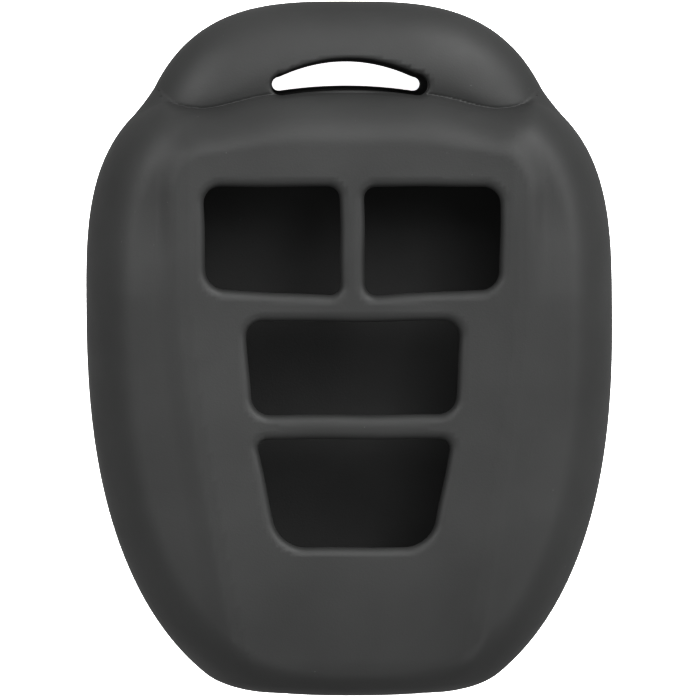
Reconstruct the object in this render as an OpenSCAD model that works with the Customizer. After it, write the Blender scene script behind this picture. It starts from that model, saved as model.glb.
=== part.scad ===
// Silicone cover for a remote key fob with four buttons: one rubber moulding, drawn as its main regions.
// It lies on its back: +X is to the right, +Y towards the keyring tab, +Z out of the button side.
// The origin is on the surface that it lies on, under the middle of its width and length.

/* [Cover] */
// Width over the widest part of the sides
cover_w = 45.5; // [42:0.1:50]
// Length from the mouth end to the end of the keyring tab
cover_l = 60; // [57:0.1:66]
// Thickness from the back to the top of the raised panel
cover_t = 16.4; // [15:0.1:20]
// Thickness of the silicone wall
wall = 1.5; // [1:0.1:2]
// Height of the widest line of the sides, where the mould parts
parting_z = 6.8; // [6:0.1:8]
// How far above the middle of its length the cover is widest
widest_y = 3.2; // [1:0.1:5]
// Width where the keyring tab meets the shoulders
shoulder_w = 34.6; // [31:0.1:38]

/* [Rounded edges] */
// Width of the rounding from the sides onto the front
front_round = 4.4; // [3:0.1:6]
// Width of the rounding from the sides onto the back
back_round = 4; // [3:0.1:6]
// Width of the rounding from the edge of the keyring tab onto its front
tab_round = 6; // [4:0.1:7]
// How much the front falls from the panel to the sides, at the widest part
side_fall = 1.4; // [0:0.1:2]
// How much the front falls from the panel to the sides, at the mouth end
side_fall_at_mouth = 3; // [0:0.1:4]

/* [Raised panel] */
// Width of the panel that holds the windows
panel_w = 30; // [27.2:0.1:31]
// Height of the panel over the front beside it
panel_rise = 0.3; // [0:0.05:1]
// Width of the slope down the side of the panel
panel_slope = 2; // [1:0.1:4]
// How much the panel narrows on each side towards the mouth end
panel_taper = 5.5; // [0:0.1:7]
// How much lower the panel is at its middle line than at its rim
panel_dish = 0.35; // [0:0.05:0.6]
// Distance from the shoulder's foot to the head of the panel
panel_head = 2.6; // [1:0.1:4]
// Distance from the mouth end to the foot of the panel
panel_foot = 2; // [1:0.1:6]
// How much the front falls towards the mouth end
mouth_fall = 2.4; // [0:0.1:4]
// Length of the front that falls towards the mouth end
mouth_fall_l = 16; // [10:0.1:20]

/* [Windows] */
// Width of each upper window
upper_window_w = 11.7; // [10:0.1:12.2]
// Length of each upper window at its outer side
upper_window_l = 8.75; // [7:0.05:9.6]
// Width of the bar between the two upper windows
middle_bar = 2.1; // [1.5:0.1:4]
// Distance from the end of the tab to the upper windows
window_top = 15.8; // [15:0.1:18]
// Width of the bars above and below the middle window
cross_bar = 2.1; // [1.5:0.1:3]
// Width of the middle window along its upper side
middle_window_w = 18.5; // [15:0.1:22]
// Length of the middle window
middle_window_l = 8.1; // [7:0.1:9]
// Width of the lower window along its upper side
lower_window_w = 16.8; // [14:0.1:20]
// Width of the lower window along its lower side
lower_window_foot_w = 13; // [10:0.1:16]
// Length of the lower window
lower_window_l = 9.3; // [7:0.1:10]

/* [Keyring tab] */
// Length of the tab beyond the shoulders
tab_l = 8.8; // [8:0.1:11]
// Height of the tab's front over the surface
tab_front_z = 12; // [10:0.1:13]
// Height of the tab's back over the surface
tab_back_z = 0.9; // [0.3:0.1:2]
// Length of the rounded shoulder from the front down to the tab
shoulder_round = 5; // [3.5:0.1:7]
// Width of the keyring slot from end to end
slot_w = 13.5; // [10:0.1:17]
// Opening of the slot at its middle
slot_h = 2.7; // [2.4:0.1:3.6]
// How far the slot's middle stands above its ends
slot_bow = 0.9; // [0.3:0.05:1.5]
// How much smaller the slot is, all round, in the back of the tab than in its front
slot_draw_in = 0.3; // [0:0.05:0.5]
// Distance from the end of the tab to the slot
slot_inset = 4.9; // [3.5:0.1:5.5]

/* [Mouth] */
// Width of the flat end that holds the mouth
mouth_end_w = 20; // [18:0.1:24]
// Width of the mouth that the key blade leaves by
mouth_w = 15.6; // [10:0.1:16.4]
// Height of the mouth
mouth_h = 6.4; // [4.5:0.1:7]
// Length of the end piece that holds the mouth
mouth_end_l = 3.4; // [2.5:0.1:5]

/* [Hidden] */
rubber = [0.27, 0.28, 0.28];

// Squareness of each stretch of the outline: 2 is an ellipse, and more is squarer
lower_square = 2.4;
upper_square = 3.2;
tab_square = 3.1;

// Roundings of the window corners, the slot's ends and the mouth
small_corner = 1;
large_corner = 1.5;
foot_corner = 2.2;
slot_end_r = 0.9;
mouth_corner = 2.6;
mouth_corner_limit_share = 0.45;

// How much the window sides lean in towards the mouth, and how much the cross bars dip at the middle line
upper_lean = 0.2;
upper_dip = 0.6;
middle_lean = 0.55;
middle_dip = 0.15;

// How far the foot of the shoulder stands beyond the notches at the middle line, how far it sags beside it and
// where it sags most, and how much longer the shoulder is there than at the middle
shoulder_lift = 1.9;
shoulder_sag = 1.6;
shoulder_sag_x = 13.5;
shoulder_sag_power = 6;
side_shoulder_round = 0.65;
// How squarely the rounded side and the rounded shoulder run into each other
corner_square = 2.5;
// Width of the soft crease along the foot of the shoulder
crease_w = 0.6;

// The panel narrows from this far above the middle of the length, along a curve of this power
panel_taper_from = 5;
panel_taper_power = 1.3;
panel_corner = 5;
// Width of the panel's level rim, and how far in from it the dish is two thirds deep
panel_rim = 1;
panel_dish_l = 3.5;
// How hollow the fall beside the panel is, from the panel out to the widest line: 1 is straight
side_curve = 1.5;

// Steps of the meshed surfaces: over a rounded edge, and from there in to the middle of the front and back
round_steps = 5;
front_steps = 28;
back_steps = 4;
// The ring that follows the crease: its place among those steps, its distance back from the foot of the shoulder,
// the least gap between the rings outside it, and the halvings that find it
crease_step = 3;
crease_back = 0.9;
crease_gap = 0.15;
crease_halvings = 12;
// Directions from the middle to the outline on the outer skin, and on the plainer surface of the hollow
skin_directions = 96;
hollow_directions = 52;
corner_steps = 5;
slot_steps = 12;

overrun = 2;

half_w = cover_w / 2;
end_y = cover_l / 2;
shoulder_y = end_y - tab_l;
mouth_end_y = mouth_end_l - end_y;

// Half width of an oval, at the middle, that is at_w wide at a distance along out of its length reach
function oval_half_w(at_w, along, reach, square) = at_w / pow(1 - pow(along / reach, square), 1 / square);
// Length of an oval from its middle that narrows from wide to at_w at a distance along
function oval_reach(at_w, wide, along, square) = along / pow(1 - pow(at_w / wide, square), 1 / square);
// Distance from the middle of an oval to its edge in direction a
function oval_r(a, wide, reach, square) =
    pow(pow(abs(cos(a)) / wide, square) + pow(abs(sin(a)) / reach, square), -1 / square);

upper_reach = oval_reach(shoulder_w / 2, half_w, shoulder_y - widest_y, upper_square);
lower_reach = oval_reach(mouth_end_w / 2, half_w, end_y + widest_y, lower_square);
tab_reach = end_y - widest_y;
tab_half_w = oval_half_w(shoulder_w / 2, shoulder_y - widest_y, tab_reach, tab_square);

// Distance from the widest line's middle to the outline in direction a, for a form that lies inset within the cover
function outline_r(a, inset) =
    sin(a) < 0
    ? oval_r(a, half_w - inset, lower_reach - inset, lower_square)
    : max(oval_r(a, half_w - inset, upper_reach - inset, upper_square),
          oval_r(a, tab_half_w - inset, tab_reach - inset, tab_square));

// 0 up to the start of a slope and 1 past its end, with no corner at either
function ease(t) = let (s = min(max(t, 0), 1)) s * s * (3 - 2 * s);
// Share of the full height at a distance d in from the outline, over an edge rounded across a width
function rounding(d, width) = sqrt(1 - pow(1 - min(d, width) / width, 2));

// The larger of two distances, with the corner where they meet rounded to radius r
function rounded_max(a, b, r) = min(max(a, b), -r) + norm([max(a + r, 0), max(b + r, 0)]);
// The larger of two heights, with the crease between them softened over a width
function soft_max(a, b, width) = (a + b + norm([a - b, width])) / 2;

function shoulder_foot_y(x) =
    shoulder_y + shoulder_lift - shoulder_sag * pow(sin(90 * x / shoulder_sag_x), shoulder_sag_power);
function shoulder_l(x) = shoulder_round + side_shoulder_round * pow(x / shoulder_sag_x, 2);

// Distance in from the edges of the body, which ends at the shoulder, and of the tab
function body_depth(a, r, x, y, inset) =
    let (side = oval_r(a, half_w - inset, (sin(a) < 0 ? lower_reach : upper_reach) - inset,
                       sin(a) < 0 ? lower_square : upper_square) - r)
    let (end = (shoulder_foot_y(x) - inset - y) * (front_round - inset) / (shoulder_l(x) - inset))
    let (near = min(side, end), far = max(side, end))
    near <= 0 ? 0 : near * pow(1 + pow(near / far, corner_square), -1 / corner_square);
function tab_depth(a, r, inset) = max(oval_r(a, tab_half_w - inset, tab_reach - inset, tab_square) - r, 0);

// Height of the body's front away from its rounded edges
function body_front(x, y) =
    let (from_widest = max(panel_taper_from - y, 0) / (panel_taper_from + end_y))
    let (taper = panel_taper * pow(from_widest, panel_taper_power))
    let (beside = abs(x) - panel_w / 2 + taper)
    let (beyond = max(y - shoulder_foot_y(x) + panel_head, panel_foot - end_y - y))
    let (rise = panel_rise * ease(1 - rounded_max(beside, beyond, panel_corner) / panel_slope))
    let (dish = panel_dish * (1 - exp(min(beside + panel_rim, 0) / panel_dish_l)))
    let (share = max(beside, 0) / (half_w - panel_w / 2))
    let (side = (side_fall + (side_fall_at_mouth - side_fall) * from_widest) * pow(share, side_curve))
    let (fall = mouth_fall * pow(max(mouth_fall_l - end_y - y, 0) / mouth_fall_l, 2))
    cover_t - panel_rise - side - fall + rise - dish;

function front_z(a, r, inset) =
    let (x = r * cos(a), y = widest_y + r * sin(a), depth = body_depth(a, r, x, y, inset))
    let (body = (body_front(x, y) - inset - parting_z) * rounding(depth, front_round - inset))
    let (tab = (tab_front_z - inset - parting_z) * rounding(tab_depth(a, r, inset), tab_round - inset))
    parting_z + soft_max(body, tab, crease_w * rounding(max(outline_r(a, inset) - r, 0), front_round - inset));
function back_z(a, r, inset) =
    let (x = r * cos(a), y = widest_y + r * sin(a))
    let (body = (parting_z - inset) * rounding(body_depth(a, r, x, y, inset), back_round - inset))
    let (tab = (parting_z - tab_back_z - inset) * rounding(tab_depth(a, r, inset), back_round - inset))
    parting_z - max(body, tab);

// Distance from the middle to ring k: the first rings close up over the rounded edge, and the rest are even
function edge_ring_r(k, edge, width) = edge - width * (1 - cos(90 * k / round_steps));
function back_ring_r(k, edge, width) =
    k < round_steps ? edge_ring_r(k, edge, width) : (edge - width) * (1 - (k - round_steps) / back_steps);
// Distance from the middle to the crease in direction a, if it is between two distances, or else the farther one
function crease_r(a, inset, near, far, halvings) =
    let (r = (near + far) / 2, past = widest_y + r * sin(a) > shoulder_foot_y(r * cos(a)) - crease_back - inset)
    halvings == 0 ? far : crease_r(a, inset, past ? near : r, past ? r : far, halvings - 1);
function front_ring_r(k, a, inset, edge, width) =
    let (step = k - round_steps)
    let (crease = crease_r(a, inset, 0, edge - width - crease_step * crease_gap, crease_halvings))
    k < round_steps ? edge_ring_r(k, edge, width)
    : step < crease_step ? edge - width - (edge - width - crease) * step / crease_step
    : crease * (1 - (step - crease_step) / (front_steps - crease_step));

function surface_point(a, r, z) = [r * cos(a), widest_y + r * sin(a), z];
function front_ring(k, inset, n) = [for (i = [0 : n - 1])
    let (a = 360 * i / n, r = front_ring_r(k, a, inset, outline_r(a, inset), front_round - inset))
    surface_point(a, r, front_z(a, r, inset))];
function back_ring(k, inset, n) = [for (i = [0 : n - 1])
    let (a = 360 * i / n, r = back_ring_r(k, outline_r(a, inset), back_round - inset))
    surface_point(a, r, back_z(a, r, inset))];

// Two triangles that fill the gap between four points, split between the two that are most alike in height
function quad(points, a, b, c, d) =
    abs(points[a].z - points[c].z) < abs(points[b].z - points[d].z)
    ? [[a, b, c], [a, c, d]]
    : [[a, b, d], [b, c, d]];
// Triangles between the rings of n points that start at outer and inner, and from a ring in to one point
function band(points, outer, inner, n) = [for (i = [0 : n - 1])
    let (j = (i + 1) % n)
    each quad(points, outer + i, outer + j, inner + j, inner + i)];
function fan(outer, tip, n) = [for (i = [0 : n - 1]) [outer + i, outer + (i + 1) % n, tip]];
function flipped(faces) = [for (f = faces) [f[0], f[2], f[1]]];

// The closed rounded form of the cover, drawn inset within its outer skin with n points to a ring
module form(inset, n) {
    front_rings = round_steps + front_steps;
    back_rings = round_steps + back_steps;
    back_start = front_rings * n;
    front_tip = back_start + (back_rings - 1) * n;
    points = [
        for (k = [0 : front_rings - 1]) each front_ring(k, inset, n),
        for (k = [1 : back_rings - 1]) each back_ring(k, inset, n),
        [0, widest_y, front_z(0, 0, inset)],
        [0, widest_y, back_z(0, 0, inset)],
    ];
    front_faces = [
        for (k = [0 : front_rings - 2]) each band(points, k * n, (k + 1) * n, n),
        each fan((front_rings - 1) * n, front_tip, n),
    ];
    back_faces = [
        each band(points, 0, back_start, n),
        for (k = [0 : back_rings - 3]) each band(points, back_start + k * n, back_start + (k + 1) * n, n),
        each fan(back_start + (back_rings - 2) * n, front_tip + 1, n),
    ];
    polyhedron(points = points, faces = concat(flipped(front_faces), back_faces));
}

// Points of a closed outline with each corner rounded to its own radius
function rounded(corners, radii) = [for (i = [0 : len(corners) - 1])
    let (n = len(corners), p = corners[i])
    let (u = unit(corners[(i + n - 1) % n] - p), v = unit(corners[(i + 1) % n] - p))
    let (half = acos(u * v) / 2, middle = p + unit(u + v) * radii[i] / sin(half))
    let (start = p + u * radii[i] / tan(half) - middle, stop = p + v * radii[i] / tan(half) - middle)
    for (k = [0 : corner_steps])
        middle + radii[i] * unit(start * (1 - k / corner_steps) + stop * k / corner_steps)];
function unit(v) = v / norm(v);

upper_top_y = end_y - window_top;
upper_foot_y = upper_top_y - upper_window_l;
middle_top_y = upper_foot_y - cross_bar - upper_dip;
middle_foot_y = middle_top_y - middle_window_l;
lower_top_y = middle_foot_y - cross_bar;
lower_foot_y = lower_top_y - lower_window_l;

module upper_window() {
    inner_x = middle_bar / 2;
    outer_x = inner_x + upper_window_w;
    polygon(rounded(
        [[inner_x, upper_top_y], [inner_x, upper_foot_y - upper_dip],
         [outer_x - upper_lean, upper_foot_y], [outer_x, upper_top_y]],
        [small_corner, small_corner, large_corner, large_corner]));
}

module middle_window() {
    top_x = middle_window_w / 2;
    foot_x = top_x - middle_lean;
    polygon(rounded(
        [[top_x, middle_top_y], [0, middle_top_y - middle_dip], [-top_x, middle_top_y],
         [-foot_x, middle_foot_y], [foot_x, middle_foot_y]],
        [large_corner, large_corner, large_corner, large_corner, large_corner]));
}

module lower_window() {
    top_x = lower_window_w / 2;
    foot_x = lower_window_foot_w / 2;
    polygon(rounded(
        [[top_x, lower_top_y], [-top_x, lower_top_y], [-foot_x, lower_foot_y], [foot_x, lower_foot_y]],
        [small_corner, small_corner, foot_corner, foot_corner]));
}

module windows() {
    translate([0, 0, parting_z]) linear_extrude(cover_t) {
        upper_window();
        mirror([1, 0]) upper_window();
        middle_window();
        lower_window();
    }
}

// The slot's outline, inset within the slot of the tab's front: a bowed band with round ends
slot_reach = slot_w / 2 - slot_end_r;
slot_y = end_y - slot_inset - slot_h / 2;
slot_xs = [for (k = [0 : slot_steps]) slot_reach * (2 * k / slot_steps - 1)];
function slot_side(x, side, inset) =
    let (share = pow(x / slot_reach, 2), half_h = slot_end_r + (slot_h / 2 - slot_end_r) * (1 - share))
    [x, slot_y - slot_bow * share + side * (half_h - inset)];
function slot_end(side, inset) = [for (k = [1 : corner_steps])
    let (a = 180 * k / (corner_steps + 1))
    side * [slot_reach, 0] + [0, slot_y - slot_bow]
    + side * (slot_end_r - inset) * [sin(a), cos(a)]];

module slot_outline(inset) {
    polygon(concat(
        [for (x = slot_xs) slot_side(x, 1, inset)], slot_end(1, inset),
        [for (x = slot_xs) slot_side(-x, -1, inset)], slot_end(-1, inset)));
}

module keyring_slot() {
    translate([0, 0, parting_z]) linear_extrude(cover_t) slot_outline(0);
    translate([0, 0, -overrun]) linear_extrude(parting_z + 2 * overrun) slot_outline(slot_draw_in);
}

module mouth() {
    corner = min(mouth_corner, mouth_corner_limit_share * mouth_h);
    x = mouth_w / 2;
    z = mouth_h / 2;
    translate([0, wall + overrun - end_y, parting_z]) rotate([90, 0, 0]) linear_extrude(wall + 2 * overrun)
        polygon(rounded([[x, z], [-x, z], [-x, -z], [x, -z]], [corner, corner, corner, corner]));
}

// A block over the whole width and thickness from y0 to y1 and from z0 to z1
module region(y0, y1, z0, z1) {
    translate([-half_w - overrun, y0, z0]) cube([cover_w + 2 * overrun, y1 - y0, z1 - z0]);
}

module hollow() {
    intersection() {
        form(wall, hollow_directions);
        region(wall - end_y, end_y, 0, cover_t);
    }
}

module front_wall() {
    color(rubber) difference() {
        intersection() {
            form(0, skin_directions);
            region(mouth_end_y, shoulder_y, parting_z, cover_t + overrun);
        }
        hollow();
        windows();
    }
}

module back_wall() {
    color(rubber) difference() {
        intersection() {
            form(0, skin_directions);
            region(mouth_end_y, shoulder_y, -overrun, parting_z);
        }
        hollow();
    }
}

module keyring_tab() {
    color(rubber) difference() {
        intersection() {
            form(0, skin_directions);
            region(shoulder_y, end_y + overrun, -overrun, cover_t + overrun);
        }
        hollow();
        keyring_slot();
    }
}

module mouth_end() {
    color(rubber) difference() {
        intersection() {
            form(0, skin_directions);
            region(-end_y, mouth_end_y, -overrun, cover_t + overrun);
        }
        hollow();
        mouth();
    }
}

front_wall();
back_wall();
keyring_tab();
mouth_end();
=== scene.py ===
# A silicone cover for a remote key fob with four buttons, lying on its back on a white light table.
# The cover is a single moulding, so the section on the sleeve makes the whole object.
# The floor, the lamps and the camera follow it.
import math

import bpy
import numpy as np
from mathutils import Matrix, Vector


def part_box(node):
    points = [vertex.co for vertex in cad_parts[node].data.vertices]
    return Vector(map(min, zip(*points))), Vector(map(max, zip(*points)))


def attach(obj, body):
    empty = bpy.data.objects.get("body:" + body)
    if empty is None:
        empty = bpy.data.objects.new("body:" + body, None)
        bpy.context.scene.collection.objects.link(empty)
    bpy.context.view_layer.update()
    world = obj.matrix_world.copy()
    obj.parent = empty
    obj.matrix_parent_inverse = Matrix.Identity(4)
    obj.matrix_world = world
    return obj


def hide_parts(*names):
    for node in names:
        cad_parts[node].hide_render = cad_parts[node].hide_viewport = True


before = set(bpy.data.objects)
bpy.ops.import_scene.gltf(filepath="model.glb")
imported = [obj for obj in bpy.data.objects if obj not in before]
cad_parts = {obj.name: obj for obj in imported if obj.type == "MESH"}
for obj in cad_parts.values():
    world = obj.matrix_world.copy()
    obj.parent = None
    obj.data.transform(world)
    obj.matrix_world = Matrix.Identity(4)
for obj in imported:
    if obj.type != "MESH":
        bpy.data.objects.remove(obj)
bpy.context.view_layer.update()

# The sleeve: one piece of charcoal silicone rubber, 1.5 mm thick, pressed in a two-part steel mould.
# It is hollow, with four windows over the fob's buttons, a mouth at its lower end for the blade, and a
# tab at the other end that slips over the fob's own loop and has a crescent slot for the key ring.

# All sizes of the sleeve are in millimetres. Its width, length and height, and the places where its
# regions meet, come from the boxes of the CAD regions.
MM = 0.001

_, front_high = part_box("front_wall")
_, back_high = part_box("back_wall")
tab_low, tab_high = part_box("keyring_tab")

half_w = front_high[0] / MM
end_y = tab_high[1] / MM
cover_t = front_high[2] / MM
parting_z = back_high[2] / MM
shoulder_y = tab_low[1] / MM
wall = 1.5
widest_y = 3.2
shoulder_half_w = 17.3
mouth_end_half_w = 10.0
lower_square, upper_square, tab_square = 2.4, 3.2, 3.1
skew = 0.008

# How far in the sides round over to the front and the back, and how far the front falls towards the sides
# and the mouth.
front_round, back_round, tab_round, edge_blend_h = 4.4, 4.0, 6.0, 1.0
side_fall, side_fall_at_mouth, side_curve, widest_side_share = 1.4, 3.0, 1.5, 1.1
mouth_fall, mouth_fall_l, lip_fall, lip_fall_l, end_bow = 2.4, 16.0, 1.2, 3.6, 0.4

# The raised panel round the windows: its rim, its shallow dish, and its taper towards the mouth.
panel_half_w, panel_rise, panel_corner_rise, panel_slope = 15.0, 0.3, 0.8, 2.0
panel_head, head_slope, panel_foot, panel_corner = 4.7, 3.0, 2.0, 2.5
shoulder_from, shoulder_to, corner_from, corner_to = 4.0, 13.0, 8.0, 15.0
panel_taper, panel_taper_from, panel_taper_curve = 5.5, 5.0, 1.3
panel_rim, panel_dish, panel_dish_l = 1.0, 0.35, 3.5

# The body's rounded end at the shoulder, the lower tab beyond it, and the crease where they meet.
tab_front_z, tab_back_z = 12.0, 0.9
end_lift, end_sag, end_sag_x, end_sag_curve = 1.9, 1.6, 13.5, 6
end_round, end_corner_round, corner_blend = 4.8, 3.6, 3.0
least_end_round, least_depth = 0.5, 0.001
groove_back, groove_depth, groove_half_w = 1.2, 0.16, 0.9
valley_r, notch_r, notch_from, notch_l = 0.02, 1.0, 14.5, 2.5
line_depth, line_half_w = 0.05, 0.14


def oval_reach(at_w, wide, along, square):
    """Length of an oval, from its middle, that narrows from wide to at_w at a distance along."""
    return along / (1 - (at_w / wide) ** square) ** (1 / square)


def oval_r(across, up, wide, reach, square):
    """Distance from an oval's middle to its edge in the direction (across, up)."""
    return ((abs(across) / wide) ** square + (abs(up) / reach) ** square) ** (-1 / square)


upper_reach = oval_reach(shoulder_half_w, half_w, shoulder_y - widest_y, upper_square)
lower_reach = oval_reach(mouth_end_half_w, half_w, end_y + widest_y, lower_square)
tab_reach = end_y - widest_y
tab_half_w = shoulder_half_w / (1 - ((shoulder_y - widest_y) / tab_reach) ** tab_square) ** (1 / tab_square)


def ease(t):
    """0 up to the start of a slope and 1 past its end, with no corner at either."""
    s = np.clip(t, 0, 1)
    return s * s * (3 - 2 * s)


def rounded_max(a, b, r):
    """The larger of two distances, with the edge where they meet rounded to radius r."""
    return np.minimum(np.maximum(a, b), -r) + np.hypot(np.maximum(a + r, 0), np.maximum(b + r, 0))


def rounded_min(a, b, r):
    """The smaller of two distances, with the corner where they meet filled to radius r."""
    return -rounded_max(-a, -b, r)


def distance(form, x, y, z, inset):
    """About how far a point lies outside a form, in millimetres: the form's value over its steepness."""
    nudge, least_steepness = 0.02, 0.02
    here = form(x, y, z, inset)
    slopes = [
        form(x + nudge, y, z, inset) - here,
        form(x, y + nudge, z, inset) - here,
        form(x, y, z + nudge, inset) - here,
    ]
    steepness = np.sqrt(sum(s * s for s in slopes)) / nudge
    return here / np.maximum(steepness, least_steepness)


def pillow(depth, z, front, back, front_width, back_width):
    """Under 0 inside a form whose edge, at the parting height, curves over to its flat front and back."""
    in_front = z >= parting_z
    width = np.where(in_front, front_width, back_width)
    height = np.where(in_front, front - parting_z, parting_z - back)
    # Outside the edge, one width passes into the other with no step, so that the join with the tab
    # has no step either.
    outside_width = back_width + (front_width - back_width) * ease((z - parting_z) / edge_blend_h)
    inward = depth / np.where(depth > 0, width, outside_width)
    return np.hypot(np.maximum(1 - inward, 0), (z - parting_z) / height) - 1


def from_middle(x, y):
    """A point's distance from the middle of the ovals, and its direction."""
    least_r = 1e-6
    r = np.maximum(np.hypot(x, y - widest_y), least_r)
    return r, x / r, (y - widest_y) / r


def body_end_y(x):
    """Where the body ends at the shoulder: nearly straight across, and drawn back towards its corners."""
    return shoulder_y + end_lift - end_sag * np.sin(x / end_sag_x * math.pi / 2) ** end_sag_curve


def body(x, y, z, inset):
    """The part that holds the fob, which ends in a rounded shoulder above the tab."""
    r, across, up = from_middle(x, y)
    lower = oval_r(across, up, half_w - inset, lower_reach - inset, lower_square)
    upper = oval_r(across, up, half_w - inset, upper_reach - inset, upper_square)
    edge = np.where(up < 0, lower, upper)
    upper_share = ease((y - shoulder_from) / (shoulder_to - shoulder_from))
    corner_share = ease((np.abs(x) - corner_from) / (corner_to - corner_from))
    side_w = front_round - inset
    end_w = end_round + (end_corner_round - end_round) * corner_share - inset
    from_side = edge - r
    from_end = (body_end_y(x) - inset - y) * side_w / np.maximum(end_w, least_end_round)
    least = np.minimum(from_side, from_end)
    nearer = np.maximum(least, least_depth)
    farther = np.maximum(np.maximum(from_side, from_end), least_depth)
    blended = nearer * (1 + (nearer / farther) ** corner_blend) ** (-1 / corner_blend)
    depth = np.where(least > 0, blended, least)

    mouth_share = np.maximum(mouth_fall_l - end_y - y, 0) / mouth_fall_l
    lip_share = np.maximum(lip_fall_l - end_y - y, 0) / lip_fall_l
    fall = mouth_fall * mouth_share**2 + lip_fall * lip_share**2
    lower_share = np.maximum(panel_taper_from - y, 0) / (panel_taper_from + end_y)
    beside = np.abs(x) - panel_half_w + panel_taper * lower_share**panel_taper_curve
    beyond_head = (y - body_end_y(x) + panel_head) * panel_slope / head_slope
    beyond = np.maximum(beyond_head, panel_foot - end_y - y)
    off_panel = rounded_max(beside, beyond, panel_corner)
    rise = panel_rise + (panel_corner_rise - panel_rise) * upper_share * corner_share
    drop = rise * (1 - ease(1 - off_panel / panel_slope))
    dish = panel_dish * (1 - np.exp(np.minimum(beside + panel_rim, 0) / panel_dish_l))
    side_share = np.clip(beside / (half_w - panel_half_w), 0, widest_side_share)
    side = (side_fall + (side_fall_at_mouth - side_fall) * lower_share) * side_share**side_curve
    front = cover_t - drop - side - fall - dish - inset
    return pillow(depth, z, front, inset, side_w, back_round - inset)


def tab(x, y, z, inset):
    """The lower part beyond the shoulder, round the fob's loop."""
    r, across, up = from_middle(x, y)
    edge = oval_r(across, up, tab_half_w - inset, tab_reach - inset, tab_square)
    groove = groove_depth * np.exp(-(((y - body_end_y(x) + groove_back) / groove_half_w) ** 2))
    front = tab_front_z - groove - inset
    return pillow(edge - r, z, front, tab_back_z + inset, tab_round - inset, back_round - inset)


def closed_form(x, y, z, inset):
    """Distance outside the sleeve's whole rounded form, drawn inset within its outer skin."""
    at_notch = ease((np.abs(x) - notch_from) / notch_l)
    join_r = valley_r + (notch_r - valley_r) * at_notch
    past_body, past_tab = distance(body, x, y, z, inset), distance(tab, x, y, z, inset)
    line = line_depth * (1 - at_notch) * np.exp(-(((past_body - past_tab) / line_half_w) ** 2))
    return rounded_min(past_body, past_tab, join_r) + line


# The windows, in the right half of the front: the left half mirrors it.
window_top, upper_window_w, upper_window_l, middle_bar, cross_bar = 15.8, 11.7, 8.75, 2.1, 2.1
middle_half_w, middle_window_l = 9.25, 8.1
lower_half_w, lower_foot_half_w, lower_window_l = 8.4, 6.5, 9.3
upper_lean, upper_dip, middle_lean, middle_dip = 0.2, 0.6, 0.55, 0.15
small_corner, large_corner, foot_corner = 1.0, 1.5, 2.2

upper_top_y = end_y - window_top
upper_foot_y = upper_top_y - upper_window_l
middle_top_y = upper_foot_y - cross_bar - upper_dip
middle_foot_y = middle_top_y - middle_window_l
lower_top_y = middle_foot_y - cross_bar
lower_foot_y = lower_top_y - lower_window_l
bar_x = middle_bar / 2
outer_x = bar_x + upper_window_w


def outline(x, y, corners, radii):
    """Distance outside a chain of straight sides, anticlockwise, with each corner between them rounded."""
    sides = [
        ((x - ax) * (by - ay) - (y - ay) * (bx - ax)) / math.hypot(bx - ax, by - ay)
        for (ax, ay), (bx, by) in zip(corners, corners[1:])
    ]
    rounds = [rounded_max(a, b, r) for a, b, r in zip(sides, sides[1:], radii)]
    return np.maximum.reduce(rounds)


upper_window = [
    (bar_x, upper_foot_y - upper_dip),
    (outer_x - upper_lean, upper_foot_y),
    (outer_x, upper_top_y),
    (bar_x, upper_top_y),
]
middle_window = [
    (0, middle_foot_y),
    (middle_half_w - middle_lean, middle_foot_y),
    (middle_half_w, middle_top_y),
    (0, middle_top_y - middle_dip),
]
lower_window = [
    (0, lower_foot_y),
    (lower_foot_half_w, lower_foot_y),
    (lower_half_w, lower_top_y),
    (0, lower_top_y),
]

wander = 0.03
sideways_sway, sideways_start = 0.9, 1.3
lengthways_sway, lengthways_start = 0.7, 0.4


def windows(x, y, z):
    """Distance outside the four windows, whose soft edges wander a little."""
    wx = np.abs(x + wander * np.sin(sideways_sway * y + sideways_start))
    wy = y + wander * np.sin(lengthways_sway * x + lengthways_start)
    upper_corners = (large_corner, large_corner, small_corner, small_corner)
    upper = outline(wx, wy, upper_window + upper_window[:2], upper_corners)
    middle = outline(wx, wy, middle_window, (large_corner, large_corner))
    lower = outline(wx, wy, lower_window, (foot_corner, small_corner))
    return np.maximum(np.minimum(np.minimum(upper, middle), lower), parting_z - z)


# The keyring slot is a bowed band with round ends, a little smaller in the back of the tab.
slot_half_w, slot_half_h, slot_bow, slot_inset, slot_end_r, slot_draw_in = 6.75, 1.35, 0.9, 4.9, 0.9, 0.3


def keyring_slot(x, y, z):
    """Distance outside the slot."""
    reach = slot_half_w - slot_end_r
    near_x = np.clip(x, -reach, reach)
    share = (near_x / reach) ** 2
    middle_y = end_y - slot_inset - slot_half_h - slot_bow * share
    half_h = slot_end_r + (slot_half_h - slot_end_r) * (1 - share)
    draw_in = slot_draw_in * ease((tab_front_z - z) / (tab_front_z - tab_back_z))
    return np.hypot(x - near_x, y - middle_y) - half_h + draw_in


# The mouth is a rounded oblong in the flat end wall.
mouth_half_w, mouth_half_h, mouth_corner = 7.8, 3.2, 2.6


def mouth(x, y, z):
    """Distance outside the mouth, which is drawn on into the hollow."""
    across = np.abs(x) - mouth_half_w
    up = np.abs(z - parting_z) - mouth_half_h
    return np.maximum(rounded_max(across, up, mouth_corner), y - shoulder_y)


# The soft edges of the openings and of the end, and the seam that the mould leaves along the widest line.
window_edge_r, slot_edge_r, end_edge_r, inner_edge_r = 0.8, 0.4, 1.0, 0.3
seam_rise, seam_half_w = 0.06, 0.25


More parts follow.
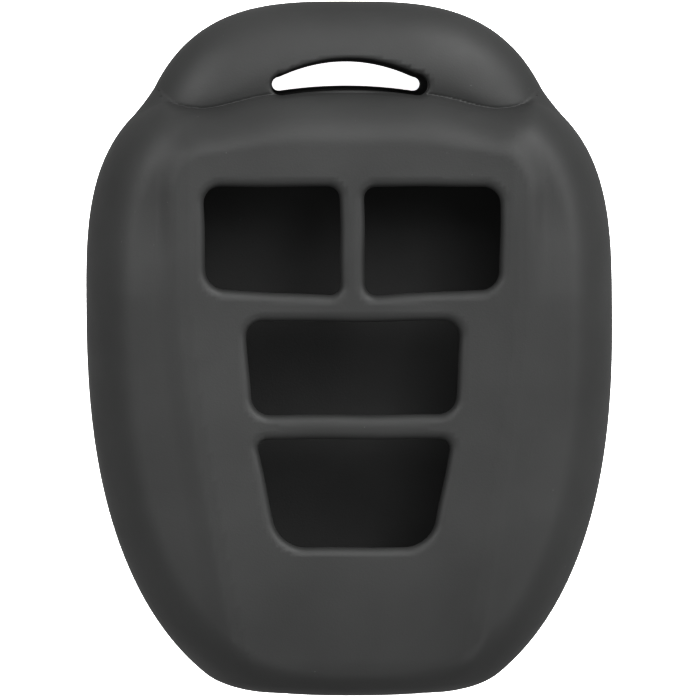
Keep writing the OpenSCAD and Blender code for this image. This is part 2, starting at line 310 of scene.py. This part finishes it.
def sleeve(x, y, z):
    """About how far a point lies outside the silicone."""
    x = x + skew * y
    seam = seam_rise * np.exp(-(((z - parting_z) / seam_half_w) ** 2))
    end = end_bow * (x / mouth_end_half_w) ** 2 - end_y - y
    skin = rounded_max(closed_form(x, y, z, 0.0) - seam, end, end_edge_r)
    hollow = rounded_max(closed_form(x, y, z, wall), end + wall, inner_edge_r)
    wide_openings = np.minimum(windows(x, y, z), mouth(x, y, z))
    softly_cut = rounded_max(skin, -rounded_min(hollow, wide_openings, inner_edge_r), window_edge_r)
    cut_for_ring = rounded_max(skin, -rounded_min(hollow, keyring_slot(x, y, z), inner_edge_r), slot_edge_r)
    return np.maximum(softly_cut, cut_for_ring)


# The mesh follows a grid over the sleeve, with closer rows over the sharp crease at the foot of the
# shoulder, which runs nearly straight across.
grid_step = 0.4
crease_from, crease_to, fine_rows = 20.2, 22.6, 6
planes_at_once = 24
margin = 0.5


def grid_surface(form, low, high, step):
    """Points and four-sided faces of the surface where a form is 0, one point to a grid cell it crosses."""
    xs, ys, zs = (np.linspace(a, b, math.ceil((b - a) / step) + 1) for a, b in zip(low, high))
    crease = ys[(ys > crease_from) & (ys < crease_to)]
    between = [crease + k / fine_rows * (ys[1] - ys[0]) for k in range(1, fine_rows)]
    ys = np.sort(np.concatenate([ys, *between]))
    # The grid is worked through in parts, to keep them small.
    parts = [xs[i : i + planes_at_once] for i in range(0, len(xs), planes_at_once)]
    value = np.concatenate([form(part[:, None, None], ys[:, None], zs) for part in parts])
    cells = [n - 1 for n in value.shape]
    total = np.zeros((*cells, 3))
    hits = np.zeros(cells)
    crossings = []
    for axis in range(3):
        near = value[tuple(slice(None, -1) if a == axis else slice(None) for a in range(3))]
        far = value[tuple(slice(1, None) if a == axis else slice(None) for a in range(3))]
        at = np.argwhere((near < 0) != (far < 0))
        index = tuple(at.T)
        place = at.astype(float)
        place[:, axis] += near[index] / (near[index] - far[index])
        # The four cells round each crossed grid edge, in turn.
        b, c = (axis + 1) % 3, (axis + 2) % 3
        ring = []
        for db, dc in ((0, 0), (-1, 0), (-1, -1), (0, -1)):
            cell = at.copy()
            cell[:, b] += db
            cell[:, c] += dc
            ring.append(cell)
            np.add.at(total, tuple(cell.T), place)
            np.add.at(hits, tuple(cell.T), 1)
        crossings.append((np.stack(ring, axis=1), near[index] < 0))
    used = hits > 0
    number = np.full(cells, -1)
    number[used] = np.arange(used.sum())
    at = total[used] / hits[used][:, None]
    lines = (xs, ys, zs)
    points = np.stack([np.interp(a, np.arange(len(line)), line) for a, line in zip(at.T, lines)], axis=1)
    faces = []
    for ring, inside_first in crossings:
        quads = number[tuple(ring.reshape(-1, 3).T)].reshape(-1, 4)
        faces.append(np.where(inside_first[:, None], quads, quads[:, ::-1]))
    return points, np.concatenate(faces)


def slope_at(form, points):
    """How steeply a form rises at each point, along each axis."""
    nudge = 0.01
    steps = np.eye(3) * nudge
    return np.stack([form(*(points + s).T) - form(*(points - s).T) for s in steps], axis=1) / (2 * nudge)


def settled(form, points, faces):
    """The surface's points, evened out among their neighbours and drawn onto the form itself."""
    least_steepness = 0.05
    starts = faces.ravel()
    ends = np.roll(faces, -1, axis=1).ravel()
    for even_out in (True, True, False, False):
        if even_out:
            total = np.zeros_like(points)
            count = np.zeros(len(points))
            np.add.at(total, starts, points[ends])
            np.add.at(count, starts, 1)
            points = (points + total / count[:, None]) / 2
        slope = slope_at(form, points)
        steepness = np.maximum((slope**2).sum(axis=1), least_steepness)
        points = points - slope * (form(*points.T) / steepness)[:, None]
    return points


points, faces = grid_surface(
    sleeve,
    np.array([-half_w - margin, -end_y - margin, -margin]),
    np.array([half_w + margin, end_y + margin, cover_t + margin]),
    grid_step,
)
points = settled(sleeve, points, faces)
normals = slope_at(sleeve, points)
normals /= np.linalg.norm(normals, axis=1, keepdims=True)

sleeve_mesh = bpy.data.meshes.new("silicone_sleeve")
sleeve_mesh.from_pydata((points * MM).tolist(), [], faces.tolist())
sleeve_mesh.validate()
sleeve_mesh.shade_smooth()
sleeve_mesh.normals_split_custom_set_from_vertices(normals.tolist())
silicone_sleeve = bpy.data.objects.new("silicone_sleeve", sleeve_mesh)
bpy.context.collection.objects.link(silicone_sleeve)

# The rubber's look: greys from 0 to 1, and how fine its patterns are, in waves to the metre.
refraction = 1.41
green_share, blue_share = 1.015, 1.005
cloud_waves, cloud_detail, cloud_from, cloud_to, cloud_dark, cloud_light = 90, 3, 0.35, 0.65, 0.036, 0.042
lint_waves, lint_detail, lint_from, lint_to, lint_grey = 2600, 1, 0.81, 0.86, 0.09
gloss_waves, gloss_detail, gloss_from, gloss_to, least_rough, most_rough = 140, 4, 0.3, 0.7, 0.5, 0.6
grain_waves, grain_detail, grain_strength, grain_depth_m = 5200, 3, 0.25, 0.00004
plain_noise, coarse_noise = 0.5, 0.6


def silicone_rubber():
    """Matte charcoal silicone: a fine moulded grain, faint clouding, and a few specks of lint."""
    material = bpy.data.materials.new("silicone_rubber")
    material.use_nodes = True
    nodes, links = material.node_tree.nodes, material.node_tree.links
    shader = nodes["Principled BSDF"]
    shader.inputs["IOR"].default_value = refraction
    place = nodes.new("ShaderNodeTexCoord").outputs["Object"]

    def noise(scale, detail, roughness):
        node = nodes.new("ShaderNodeTexNoise")
        node.inputs["Scale"].default_value = scale
        node.inputs["Detail"].default_value = detail
        node.inputs["Roughness"].default_value = roughness
        links.new(place, node.inputs["Vector"])
        return node.outputs["Fac"]

    def ramp(fac, low_at, high_at, low_colour, high_colour):
        node = nodes.new("ShaderNodeValToRGB")
        low, high = node.color_ramp.elements
        low.position, low.color = low_at, low_colour
        high.position, high.color = high_at, high_colour
        links.new(fac, node.inputs["Fac"])
        return node.outputs["Color"]

    def plain_grey(v):
        return (v, v, v, 1)

    def rubber_grey(v):
        return (v, v * green_share, v * blue_share, 1)

    cloud_noise = noise(cloud_waves, cloud_detail, plain_noise)
    clouds = ramp(cloud_noise, cloud_from, cloud_to, rubber_grey(cloud_dark), rubber_grey(cloud_light))
    lint_noise = noise(lint_waves, lint_detail, plain_noise)
    lint = ramp(lint_noise, lint_from, lint_to, plain_grey(0), plain_grey(1))
    speck = nodes.new("ShaderNodeMix")
    speck.data_type = "RGBA"
    speck.inputs["B"].default_value = rubber_grey(lint_grey)
    links.new(lint, speck.inputs["Factor"])
    links.new(clouds, speck.inputs["A"])
    links.new(speck.outputs["Result"], shader.inputs["Base Color"])

    gloss_noise = noise(gloss_waves, gloss_detail, coarse_noise)
    gloss = ramp(gloss_noise, gloss_from, gloss_to, plain_grey(least_rough), plain_grey(most_rough))
    links.new(gloss, shader.inputs["Roughness"])

    grain = nodes.new("ShaderNodeBump")
    grain.inputs["Strength"].default_value = grain_strength
    grain.inputs["Distance"].default_value = grain_depth_m
    links.new(noise(grain_waves, grain_detail, coarse_noise), grain.inputs["Height"])
    links.new(grain.outputs["Normal"], shader.inputs["Normal"])
    return material


sleeve_mesh.materials.append(silicone_rubber())
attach(silicone_sleeve, "root")
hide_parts("front_wall", "back_wall", "keyring_tab", "mouth_end")

# The floor: the opal glass of a light table, lit evenly from below, so that it shows plain white and
# no shadow, also through the keyring slot. It sheds no light on the cover itself.
floor_half_m, gap_under_cover_m, glass_grey, glass_glow = 2.0, 0.00002, 0.9, 1.0

floor_mesh = bpy.data.meshes.new("light_table")
corner_signs = ((-1, -1), (1, -1), (1, 1), (-1, 1))
floor_corners = [(across * floor_half_m, along * floor_half_m, 0) for across, along in corner_signs]
floor_mesh.from_pydata(floor_corners, [], [(0, 1, 2, 3)])
light_table = bpy.data.objects.new("light_table", floor_mesh)
light_table.location.z = -gap_under_cover_m
bpy.context.collection.objects.link(light_table)

opal_glass = bpy.data.materials.new("opal_glass")
opal_glass.use_nodes = True
opal_shader = opal_glass.node_tree.nodes["Principled BSDF"]
opal_shader.inputs["Base Color"].default_value = (glass_grey, glass_grey, glass_grey, 1)
opal_shader.inputs["Emission Color"].default_value = (1, 1, 1, 1)
opal_shader.inputs["Emission Strength"].default_value = glass_glow
floor_mesh.materials.append(opal_glass)
light_table.visible_diffuse = False
light_table.visible_glossy = False
light_table.visible_shadow = False

# The studio: pale walls and eight soft square lamps round the cover. The strong ones stand low beyond the
# tab and to the right, and one of them higher; the weak ones fill in from the left and the near side.
aim = Vector((0, -0.00015, 0.007))
lamp_distance_m, lamp_size_m, backdrop_strength = 1.2, 0.55, 0.74


def soft_lamp(name, azimuth, elevation, power):
    """A square lamp that faces the cover; azimuth is anticlockwise from +X, seen from above."""
    a, e = math.radians(azimuth), math.radians(elevation)
    direction = Vector((math.cos(a) * math.cos(e), math.sin(a) * math.cos(e), math.sin(e)))
    data = bpy.data.lights.new(name, "AREA")
    data.shape = "SQUARE"
    data.size = lamp_size_m
    data.energy = power
    lamp = bpy.data.objects.new(name, data)
    lamp.location = aim + direction * lamp_distance_m
    lamp.rotation_euler = direction.to_track_quat("Z", "Y").to_euler()
    bpy.context.collection.objects.link(lamp)


for name, azimuth, elevation, power in (
    ("far_right_lamp", 60, 28, 14.4),
    ("right_lamp", 20, 28, 9.2),
    ("high_lamp", 60, 66, 8.3),
    ("far_left_lamp", 140, 28, 6.7),
    ("raised_left_lamp", 150, 45, 5.9),
    ("near_right_lamp", 300, 28, 5.1),
    ("left_lamp", 180, 28, 2.1),
    ("near_left_lamp", 220, 28, 1.5),
):
    soft_lamp(name, azimuth, elevation, power)

world = bpy.data.worlds.new("studio")
bpy.context.scene.world = world
world.use_nodes = True
backdrop = world.node_tree.nodes["Background"]
backdrop.inputs["Color"].default_value = (1, 1, 1, 1)
backdrop.inputs["Strength"].default_value = backdrop_strength

# The camera looks down on the cover, from a little to its left and a little beyond the tab. Its lens
# follows from the photo's width in pixels and from how many of them make a metre of the cover.
camera_distance_m, degrees_left, degrees_beyond, sensor_w_mm = 0.7, 2.0, 2.5, 36
photo_pixels, pixels_to_metre = 700, 11535
picture_gamma = 0.65

left, beyond = math.radians(degrees_left), math.radians(degrees_beyond)
view_from = Vector((-math.sin(left), math.sin(beyond), 1)).normalized()
camera_data = bpy.data.cameras.new("camera")
camera_data.sensor_width = sensor_w_mm
camera_data.lens = camera_data.sensor_width * camera_distance_m * pixels_to_metre / photo_pixels
camera = bpy.data.objects.new("camera", camera_data)
camera.location = aim + view_from * camera_distance_m
right = Vector((0, 1, 0)).cross(view_from).normalized()
up = view_from.cross(right)
camera.rotation_euler = Matrix((right, up, view_from)).transposed().to_euler()
bpy.context.collection.objects.link(camera)
bpy.context.scene.camera = camera
bpy.context.scene.view_settings.view_transform = "Standard"
bpy.context.scene.view_settings.gamma = picture_gamma
